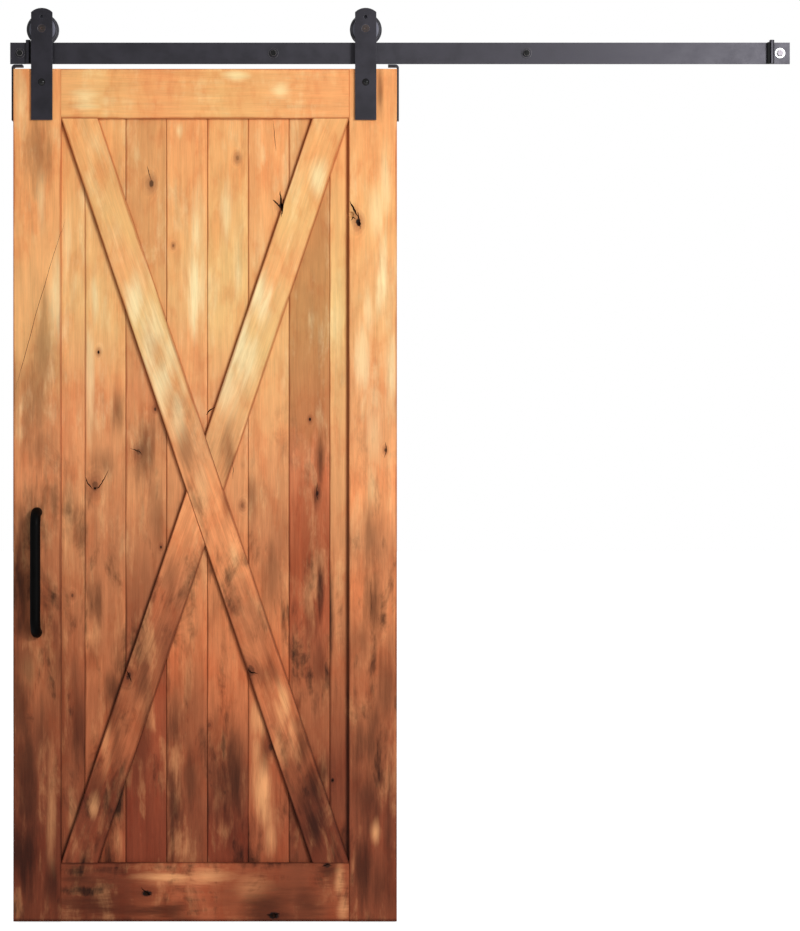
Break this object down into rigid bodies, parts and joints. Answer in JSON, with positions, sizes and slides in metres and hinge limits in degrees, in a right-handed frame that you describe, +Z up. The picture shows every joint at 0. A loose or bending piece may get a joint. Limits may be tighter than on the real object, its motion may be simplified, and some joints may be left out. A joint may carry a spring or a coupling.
{
  "type": "sliding barn door",
  "caption": "Framed plank door with an X brace, hung from grooved wheels that roll along a flat wall-mounted track.",
  "frame": {"origin": "on the wall's face, at the middle of the track bar's length and height, between its wall bolts", "axes": "+X right along the track as seen from the room, +Y into the wall, +Z up; the door hangs on the -Y side"},
  "size_m": [1.862, 0.1647, 2.1763],
  "materials": {
    "frame_wood": "stained and oiled knotty alder, lighter towards the top",
    "plank_wood": "stained and oiled knotty alder planks with a V at each seam",
    "brace_wood": "stained and oiled knotty alder boards",
    "track_steel": "satin dark grey powder coat, slightly mottled",
    "hardware_steel": "satin dark grey powder coat",
    "wheel_steel": "dark rim with a paler machined face",
    "black_fastener": "black oxide, slightly glossy",
    "bright_fastener": "bright zinc",
    "bearing_steel": "ground and polished",
    "bumper_rubber": "matt black",
    "handle_black": "satin black"
  },
  "bodies": {
    "track": {"bumper_left": "bumper_rubber", "bumper_right": "bumper_rubber", "stop_left": "hardware_steel", "stop_right": "hardware_steel", "stop_screws": "hardware_steel", "track_bar": "track_steel", "track_spacer_1": "hardware_steel", "track_spacer_2": "hardware_steel", "track_spacer_3": "hardware_steel", "track_spacer_4": "hardware_steel", "wall_bolt_bright": "bright_fastener", "wall_bolts_dark": "black_fastener", "wall_washer_bright": "bright_fastener", "wall_washers_dark": "hardware_steel"},
    "door": {"axle_bolt_left": "black_fastener", "axle_bolt_right": "black_fastener", "axle_nut_left": "hardware_steel", "axle_nut_right": "hardware_steel", "axle_spacer_left": "hardware_steel", "axle_spacer_right": "hardware_steel", "bearing_inner_left": "bearing_steel", "bearing_inner_right": "bearing_steel", "bottom_board": "frame_wood", "brace_long": "brace_wood", "brace_lower": "brace_wood", "brace_upper": "brace_wood", "bracket_left": "hardware_steel", "bracket_right": "hardware_steel", "bracket_screws": "hardware_steel", "handle": "handle_black", "handle_bolts": "black_fastener", "hanger_bolts": "black_fastener", "hanger_nuts": "hardware_steel", "hanger_washers": "hardware_steel", "plank_1": "plank_wood", "plank_2": "plank_wood", "plank_3": "plank_wood", "plank_4": "plank_wood", "plank_5": "plank_wood", "plank_6": "plank_wood", "plank_7": "plank_wood", "plank_8": "plank_wood", "stile_left": "frame_wood", "stile_right": "frame_wood", "strap_left": "hardware_steel", "strap_right": "hardware_steel", "top_board": "frame_wood"},
    "wheel_left": {"bearing_balls_left": "bearing_steel", "bearing_outer_left": "bearing_steel", "wheel_left": "wheel_steel"},
    "wheel_right": {"bearing_balls_right": "bearing_steel", "bearing_outer_right": "bearing_steel", "wheel_right": "wheel_steel"}
  },
  "joints": [
    {"name": "door_slide", "type": "slide", "parent": "track", "child": "door", "axis": [1, 0, 0], "range_m": [0, 0.9348]},
    {"name": "wheel_left_spin", "type": "hinge", "parent": "door", "child": "wheel_left", "pos_m": [-0.85316, -0.03517, 0.05615], "axis": [0, 1, 0], "continuous": true},
    {"name": "wheel_right_spin", "type": "hinge", "parent": "door", "child": "wheel_right", "pos_m": [-0.08167, -0.03517, 0.05615], "axis": [0, 1, 0], "continuous": true}
  ],
  "couplings": [
    {"joint": "wheel_left_spin", "follows": "door_slide", "rad_per_m": 32.573},
    {"joint": "wheel_right_spin", "follows": "door_slide", "rad_per_m": 32.573}
  ]
}
